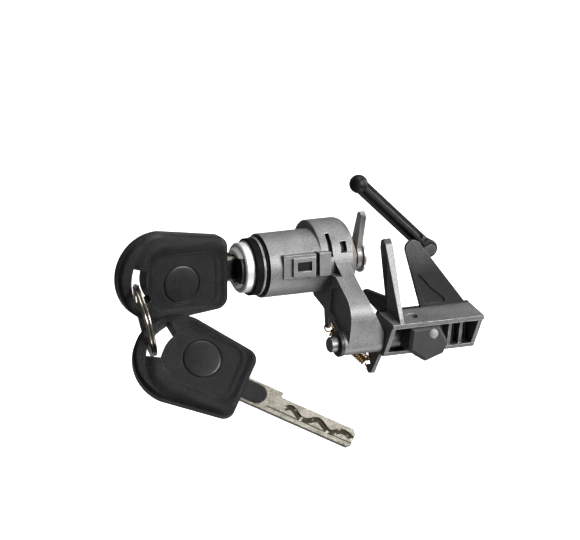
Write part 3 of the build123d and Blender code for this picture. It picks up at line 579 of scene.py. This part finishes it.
# Middle and half size of a bow's sunken field, and the crowned band round it, in millimetres
BOW_FIELD = ((2.5, 3.5), (15.9, 12.5))
BOW_CORNER = 5.0
PILLOW_HALF = 5.2
PILLOW_RISE = 1.6
BLADE_FACE = 1.25
BLADE_EDGE = 3.4
GROOVE_SPAN = (-3.75, -3.2)
GROOVE_START = 35.0


def pillow(origin, along, face):
    """The crowned band round a bow's field, as a function for a moulded plastic's form.

    With d the distance outside the field's rounded rectangle and x = (d - h) / h for a band of half width h, the
    band's height is (1 - x^2)^2, which leaves the field and the rim without a crease.
    """
    def form(plastic, normal):
        centre, half = BOW_FIELD
        directions = (np.array(along), np.cross(face, along))
        reach = [(plastic.along(way, origin) - middle).size() - (side - BOW_CORNER)
                 for way, middle, side in zip(directions, centre, half)]
        outside = [part.floor() for part in reach]
        distance = (outside[0] * outside[0] + outside[1] * outside[1]) ** 0.5 - BOW_CORNER
        x = (distance - PILLOW_HALF) / PILLOW_HALF
        band = (1.0 - x * x).clamp()
        return plastic.bump(band * band, PILLOW_RISE, normal)

    return form


def domed_caps(name, origin, along, face, crown, material, body):
    """The two round caps of one bow.

    Height over the bow's middle plane at radius r: edge + roll sqrt(1 - (r / R)^20) + crown (1 - (r / R)^2),
    a gentle crown whose rim rolls down into the ring groove.
    """
    share = np.sin(np.linspace(0.0, math.pi / 2, CAP_ROWS))[::-1]
    top = CAP_EDGE + CAP_ROLL * np.sqrt(1.0 - share**20) + crown * (1.0 - share**2)
    radii = np.concatenate([[0.0, CAP_RADIUS], share * CAP_RADIUS])
    heights = np.concatenate([[CAP_FOOT, CAP_FOOT], top])
    centre = origin + CAP_UP * np.cross(face, along)
    vertices, faces = join([turned(centre, side * face, radii, heights, CAP_SEGMENTS) for side in (1, -1)])
    piece = solid(name, vertices, faces, material, body, (f"{body}_caps",))


def milled_blade(name, look, origin, along, face):
    """Nickel blade whose milled track is mostly dark, with brass showing where the nickel is worn.

    The track is where the surface lies deeper than the blade's faces and away from its two edges. A painted shadow
    line stands for the groove along the lower edge.
    """
    nickel = Shader(name, look.blade_color, 0.38, 0.65)
    grain = nickel.noise(0.45, 3.0, rough=0.7)
    stain = nickel.noise(3.0, 3.0)
    across = np.cross(face, along)
    deep = 1.0 - nickel.along(face, origin).size().over(BLADE_FACE, 0.1)
    height = nickel.along(across, origin)
    track = deep * (1.0 - height.size().over(BLADE_EDGE, 0.3))
    plain = nickel.mix((stain * 0.4 + grain * 1.1).over(0.55, 0.35), look.blade_dull, look.blade_color)
    bare = nickel.mix(nickel.noise(0.8, 2.0).over(0.50, 0.2), (0.58, 0.56, 0.50), (0.26, 0.17, 0.07))
    worn = nickel.mix(nickel.noise(2.3, 2.0).over(0.57, 0.07), (0.035, 0.028, 0.018), bare)
    # Painted shadow: a dark line along the lower edge stands for the groove
    groove = height.between(*GROOVE_SPAN) * nickel.along(along, origin).over(GROOVE_START, 0.3)
    groove_shadowed = nickel.mix(groove, plain, (0.06, 0.05, 0.045))
    nickel.drive("Base Color", nickel.mix(track, groove_shadowed, worn))
    nickel.drive("Roughness", grain * 0.18 + stain * 0.12 + track * 0.15 + 0.20)
    nickel.relief(grain, 0.05, nickel.rounded(0.25))
    return nickel.material


RING_START = (-59.2295, -3.682, -18.824)
RING_AXIS = (0.953, -0.212, 0.216)
RING_RADIUS = 15.9
RING_PITCH = 1.5
RING_TURNS = 1.9
RING_THICK = 1.4
RING_WIDE = 2.2
RING_STEPS = 240
RING_SIDES = 20
RING_POWER = 0.45


class LOCKSET_OT_ring(bpy.types.Operator):
    """Winds the split ring from two turns of flat wire

    The section is a superellipse, sign(cos a) |cos a|^0.45 t / 2 along the ring's axis and
    sign(sin a) |sin a|^0.45 w / 2 across it, so the two turns lie flat on each other with soft edges.
    """

    bl_idname = "lockset.ring"
    bl_label = "Split ring"

    def execute(self, context):
        plate = turned_metal("ring_plate", (0.60, 0.56, 0.48), (0.16, 0.14, 0.11), 0.20)
        path = helix(RING_START, RING_AXIS, RING_RADIUS, RING_PITCH, RING_TURNS, RING_STEPS) * MM
        tangent = tangents(path)
        thick = unit(RING_AXIS)
        thick = thick - tangent * (tangent @ thick)[:, None]
        wide = np.cross(tangent, thick)
        angle = np.linspace(0.0, 2.0 * math.pi, RING_SIDES, endpoint=False)
        cosine, sine = np.cos(angle), np.sin(angle)
        flat = np.sign(cosine) * np.abs(cosine) ** RING_POWER * RING_THICK / 2 * MM
        tall = np.sign(sine) * np.abs(sine) ** RING_POWER * RING_WIDE / 2 * MM
        section = flat[None, :, None] * thick[:, None, :] + tall[None, :, None] * wide[:, None, :]
        piece = grid_mesh("split_ring_wire", path[:, None, :] + section, plate, "ring", ("key_ring",), closed_v=True,
                          caps=True)
        return {"FINISHED"}


RETURN_START = (44.55, 0.0, 0.0)
RETURN_RADIUS = 7.3
RETURN_WIRE = 0.45
RETURN_PITCH = 1.05
RETURN_TURNS = 2.0
RETURN_LEG = 5.0
RETURN_STEPS = 120
PULL_LOW = (32.1325, -11.2044, -31.5597)
PULL_HIGH = (46.7175, -16.3956, -46.0403)
PULL_RADIUS = 2.3
PULL_WIRE = 0.4
PULL_PITCH = 1.15
PULL_STEPS_PER_TURN = 20
HOOK_RADIUS = 1.9
HOOK_TIP = 150.0
HOOK_END = -165.0


class LOCKSET_OT_springs(bpy.types.Operator):
    """Winds the two copper plated springs from round wire, with legs and hooks, fixed where they sit"""

    bl_idname = "lockset.springs"
    bl_label = "Springs"

    def execute(self, context):
        look = context.scene.lockset_wire
        wire = coppered_wire("coppered_wire", look.copper, look.tarnish)
        coil = helix(RETURN_START, X_AXIS, RETURN_RADIUS, RETURN_PITCH, RETURN_TURNS, RETURN_STEPS)
        leg = np.linspace(RETURN_LEG, 0.4, 10)[:, None]
        lead_in = coil[0] - leg * unit(coil[1] - coil[0])
        lead_out = coil[-1] + leg[::-1] * unit(coil[-1] - coil[-2])
        path = np.concatenate([lead_in, coil, lead_out])
        piece = tube("return_spring_wire", path * MM, RETURN_WIRE * MM, look.sides, wire, None, ("return_spring",))
        tuple(coil[0] * MM * (1, 0, 0))
        tuple(coil[-1] * MM * (1, 0, 0))
        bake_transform(piece)
        low, high = np.array(PULL_LOW), np.array(PULL_HIGH)
        along = unit(high - low)
        side = unit(np.cross(along, X_AXIS))
        length = np.linalg.norm(high - low)
        turns = round(length / PULL_PITCH)
        coil = helix(low, along, PULL_RADIUS, length / turns, turns, turns * PULL_STEPS_PER_TURN)
        path = np.concatenate([hook(low, coil[0], -along, side), coil, hook(high, coil[-1], along, side)[::-1]])
        piece = tube("pull_spring_wire", path * MM, PULL_WIRE * MM, look.sides, wire, None, ("pull_spring",))
        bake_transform(piece)
        return {"FINISHED"}


def hook(centre, end, outward, side):
    """Points of a spring's round hook, from its open tip to the coil's end.

    The hook is most of a circle of radius h about a point h + wire beyond the coil, in the plane of the spring's
    line and of the direction square to it; the last part bends over to where the coil begins.
    """
    middle = centre + outward * (HOOK_RADIUS + PULL_WIRE)
    across = np.cross(outward, side)
    angle = np.linspace(math.radians(HOOK_TIP), math.radians(HOOK_END), 34)[:, None]
    circle = middle + HOOK_RADIUS * (outward * np.cos(angle) + across * np.sin(angle))
    t = np.linspace(0.15, 0.9, 8)[:, None]
    return np.concatenate([circle, circle[-1] * (1.0 - t) + end * t])


BUFFER_PIN_FOOT = (67.4, -35.8, -28.4)
BUFFER_PIN_RADIUS = 2.5
BUFFER_PIN_LONG = 10.8
BUFFER_PIN_CROWN = 1.5


class LOCKSET_OT_rod(bpy.types.Operator):
    """Finishes the push rod and the buffer, and turns the buffer's domed pin

    The dome's outline is a quarter of an ellipse, r = R cos a and h = shank + crown sin a.
    """

    bl_idname = "lockset.rod"
    bl_label = "Rod and buffer"

    def execute(self, context):
        assign(moulded_plastic("gloss_black_rod", (0.004, 0.004, 0.0045), (0.014, 0.013, 0.013), 0.40, grain=1.2,
                               depth=0.12, specular=0.25), "push_rod")
        assign(moulded_plastic("grey_buffer", (0.018, 0.018, 0.019), (0.05, 0.05, 0.052), 0.50, grain=0.3,
                               depth=0.02), "lever_buffer")
        nylon = moulded_plastic("natural_nylon", (0.20, 0.20, 0.19), (0.38, 0.38, 0.36), 0.45, grain=0.5, soften=0.3)
        bend = np.linspace(0.0, math.pi / 2, 14)
        radii = np.concatenate([[0.0, BUFFER_PIN_RADIUS], BUFFER_PIN_RADIUS * np.cos(bend)])
        shank = BUFFER_PIN_LONG - BUFFER_PIN_CROWN
        heights = np.concatenate([[0.0, 0.0], shank + BUFFER_PIN_CROWN * np.sin(bend)])
        radii[-1] = 0.0
        centre = np.array(BUFFER_PIN_FOOT) * MM
        vertices, faces = turned(centre, np.array((0.0, -1.0, 0.0)), radii * MM, heights * MM, 48)
        solid("domed_buffer_pin", vertices, faces, nylon, "lever", ("buffer_pin",))
        return {"FINISHED"}


class LOCKSET_OT_stage(bpy.types.Operator):
    """Sets the camera, the softboxes, the bright surround and the pale floor"""

    bl_idname = "lockset.stage"
    bl_label = "Stage"

    def execute(self, context):
        scene = context.scene
        look = scene.lockset_stage
        place_camera(scene, look.lens)
        light_stage(scene, look.key_power)
        lay_floor(look.floor_gap)
        return {"FINISHED"}


PHOTO_SIZE = (580, 540)
PIXELS_PER_METRE = 2200.0
RIGHT = Vector((0.9135, -0.4067, 0.0)).normalized()
FORWARD = Vector((0.394, 0.885, -0.247)).normalized()
AXIS_PIXEL = (258.0, 265.6)


def place_camera(scene, lens):
    """Puts the camera where the photograph's was: the lock's origin falls on its pixel of the picture."""
    up = RIGHT.cross(FORWARD)
    data = bpy.data.cameras.new("studio_camera")
    camera = bpy.data.objects.new("studio_camera", data)
    scene.collection.objects.link(camera)
    data.lens = lens
    data.sensor_width = 36.0
    middle = (CAD_BOX[0] + CAD_BOX[1]) / 2
    off_right = (PHOTO_SIZE[0] / 2 - AXIS_PIXEL[0]) / PIXELS_PER_METRE
    off_up = (AXIS_PIXEL[1] - PHOTO_SIZE[1] / 2) / PIXELS_PER_METRE
    target = RIGHT * off_right + up * off_up + FORWARD * FORWARD.dot(middle)
    distance = PHOTO_SIZE[0] / PIXELS_PER_METRE * lens / data.sensor_width
    turn = Matrix((RIGHT, up, -FORWARD)).transposed().to_4x4()
    camera.matrix_world = Matrix.Translation(target - FORWARD * distance) @ turn
    data.clip_end = 40.0
    scene.camera = camera


def soft_light(scene, name, place, aim, size, power):
    """A rectangular softbox at a place, turned towards the point it is aimed at."""
    data = bpy.data.lights.new(name, "AREA")
    data.shape = "RECTANGLE"
    data.size, data.size_y = size
    data.energy = power
    lamp = bpy.data.objects.new(name, data)
    scene.collection.objects.link(lamp)
    direction = Vector(aim) - Vector(place)
    lamp.matrix_world = Matrix.Translation(place) @ direction.to_track_quat("-Z", "Y").to_matrix().to_4x4()


# Each softbox's place and size in metres, and its share of the main power
LIGHTS = (
    ("front_light", (0.35, -0.78, 0.32), (0.45, 0.30), 1.1),
    ("top_light", (0.20, -0.10, 0.95), (0.6, 0.5), 0.5),
    ("low_light", (0.30, -0.40, -0.80), (0.5, 0.4), 0.35),
    ("right_light", (0.95, -0.05, 0.25), (0.25, 0.5), 0.5),
)
# Grey of the surround by height, from straight down at 0 to straight up at 1
SURROUND_STOPS = ((0.0, 0.40), (0.40, 0.34), (0.50, 0.40), (0.60, 0.45), (0.80, 0.25), (1.0, 0.50))
# The surround's share of that grey, from the left side to the right
SURROUND_SIDES = (("From Min", -0.9), ("From Max", 0.4), ("To Min", 0.18), ("To Max", 1.0))


def light_stage(scene, power):
    """Softboxes in front on the right, overhead, from below and on the far right, in a surround darker at the left."""
    middle = (CAD_BOX[0] + CAD_BOX[1]) / 2
    for name, place, size, share in LIGHTS:
        soft_light(scene, name, place, middle, size, power * share)
    world = bpy.data.worlds.new("studio_surround")
    world.use_nodes = True
    nodes = world.node_tree.nodes
    links = world.node_tree.links
    surround = nodes["Background"]
    surround.inputs["Strength"].default_value = 0.8
    place = nodes.new("ShaderNodeTexCoord")
    split = nodes.new("ShaderNodeSeparateXYZ")
    ramp = nodes.new("ShaderNodeValToRGB")
    while len(ramp.color_ramp.elements) < len(SURROUND_STOPS):
        ramp.color_ramp.elements.new(1.0)
    for element, (where, level) in zip(ramp.color_ramp.elements, SURROUND_STOPS):
        element.position = where
        element.color = (level, level, level, 1.0)
    half = nodes.new("ShaderNodeMath")
    half.operation = "MULTIPLY_ADD"
    half.inputs[1].default_value = 0.5
    half.inputs[2].default_value = 0.5
    links.new(place.outputs["Generated"], split.inputs[0])
    links.new(split.outputs["Z"], half.inputs[0])
    links.new(half.outputs[0], ramp.inputs["Fac"])
    lit = nodes.new("ShaderNodeMapRange")
    for socket, level in SURROUND_SIDES:
        lit.inputs[socket].default_value = level
    shade = nodes.new("ShaderNodeVectorMath")
    shade.operation = "SCALE"
    links.new(split.outputs["X"], lit.inputs["Value"])
    links.new(ramp.outputs["Color"], shade.inputs[0])
    links.new(lit.outputs["Result"], shade.inputs["Scale"])
    links.new(shade.outputs["Vector"], surround.inputs["Color"])
    scene.world = world
    scene.view_settings.view_transform = "Standard"
    scene.view_settings.look = "None"
    scene.view_settings.exposure = 0.0


FLOOR_REACH = 9.0
FLOOR_BACK = 6.0
SWEEP_RADIUS = 1.5
WALL_HEIGHT = 6.0


def lay_floor(gap):
    """A wide pale floor that rises behind the set in one smooth sweep.

    The height is nothing up to the sweep's start and then a quarter circle followed by a straight wall.
    """
    bend = np.linspace(0.0, math.pi / 2, 24)
    depth = np.concatenate([[-FLOOR_REACH], FLOOR_BACK + SWEEP_RADIUS * np.sin(bend), [FLOOR_BACK + SWEEP_RADIUS]])
    height = np.concatenate([[0.0], SWEEP_RADIUS * (1 - np.cos(bend)), [WALL_HEIGHT]])
    forward = unit((FORWARD.x, FORWARD.y))
    side = np.array([-forward[1], forward[0]])
    across = np.linspace(-FLOOR_REACH, FLOOR_REACH, 13)
    ground = depth[:, None, None] * forward + across[None, :, None] * side
    level = np.broadcast_to(height[:, None, None] + CAD_BOX[0].z - gap, ground.shape[:2] + (1,))
    points = np.concatenate([ground, level], axis=-1)
    paper = Shader("studio_paper", (0.93, 0.93, 0.93), 0.9)
    glow = paper.noise(180.0, 1.0)
    paper.drive("Base Color", paper.mix(glow, (0.92, 0.92, 0.92), (0.94, 0.94, 0.94)))
    paper.body.inputs["Emission Color"].default_value = (1.0, 1.0, 1.0, 1.0)
    paper.body.inputs["Emission Strength"].default_value = 1.0
    floor = grid_mesh("studio_floor", points, paper.material, None)
    floor.visible_glossy = False
    floor.visible_diffuse = False
    floor.visible_shadow = False


# Panel


OPERATORS = (LOCKSET_OT_castings, LOCKSET_OT_plug, LOCKSET_OT_seals, LOCKSET_OT_keys, LOCKSET_OT_ring,
             LOCKSET_OT_springs, LOCKSET_OT_rod, LOCKSET_OT_stage)


class LOCKSET_PT_panel(bpy.types.Panel):
    """Lists the lock set's steps and settings"""

    bl_idname = "LOCKSET_PT_panel"
    bl_label = "Lock Set"
    bl_space_type = "VIEW_3D"
    bl_region_type = "UI"
    bl_category = "Lock Set"

    def draw(self, context):
        for group in SETTINGS:
            box = self.layout.box()
            for name in SETTINGS[group].__annotations__:
                box.prop(getattr(context.scene, group), name)
        for operator in OPERATORS:
            self.layout.operator(operator.bl_idname)


SETTINGS = {"lockset_castings": CastingSettings, "lockset_keys": KeySettings, "lockset_wire": WireSettings,
            "lockset_stage": StageSettings}


def register():
    """Adds the settings, the steps and the panel."""
    for group, settings in SETTINGS.items():
        bpy.utils.register_class(settings)
        setattr(bpy.types.Scene, group, PointerProperty(type=settings))
    for operator in OPERATORS:
        bpy.utils.register_class(operator)
    bpy.utils.register_class(LOCKSET_PT_panel)


def unregister():
    """Takes them away again."""
    bpy.utils.unregister_class(LOCKSET_PT_panel)
    for operator in reversed(OPERATORS):
        bpy.utils.unregister_class(operator)
    for group, settings in reversed(SETTINGS.items()):
        delattr(bpy.types.Scene, group)
        bpy.utils.unregister_class(settings)


def main():
    """Runs every step in order."""
    register()
    for operator in OPERATORS:
        module, name = operator.bl_idname.split(".")
        getattr(getattr(bpy.ops, module), name)()


if __name__ == "__main__":
    main()
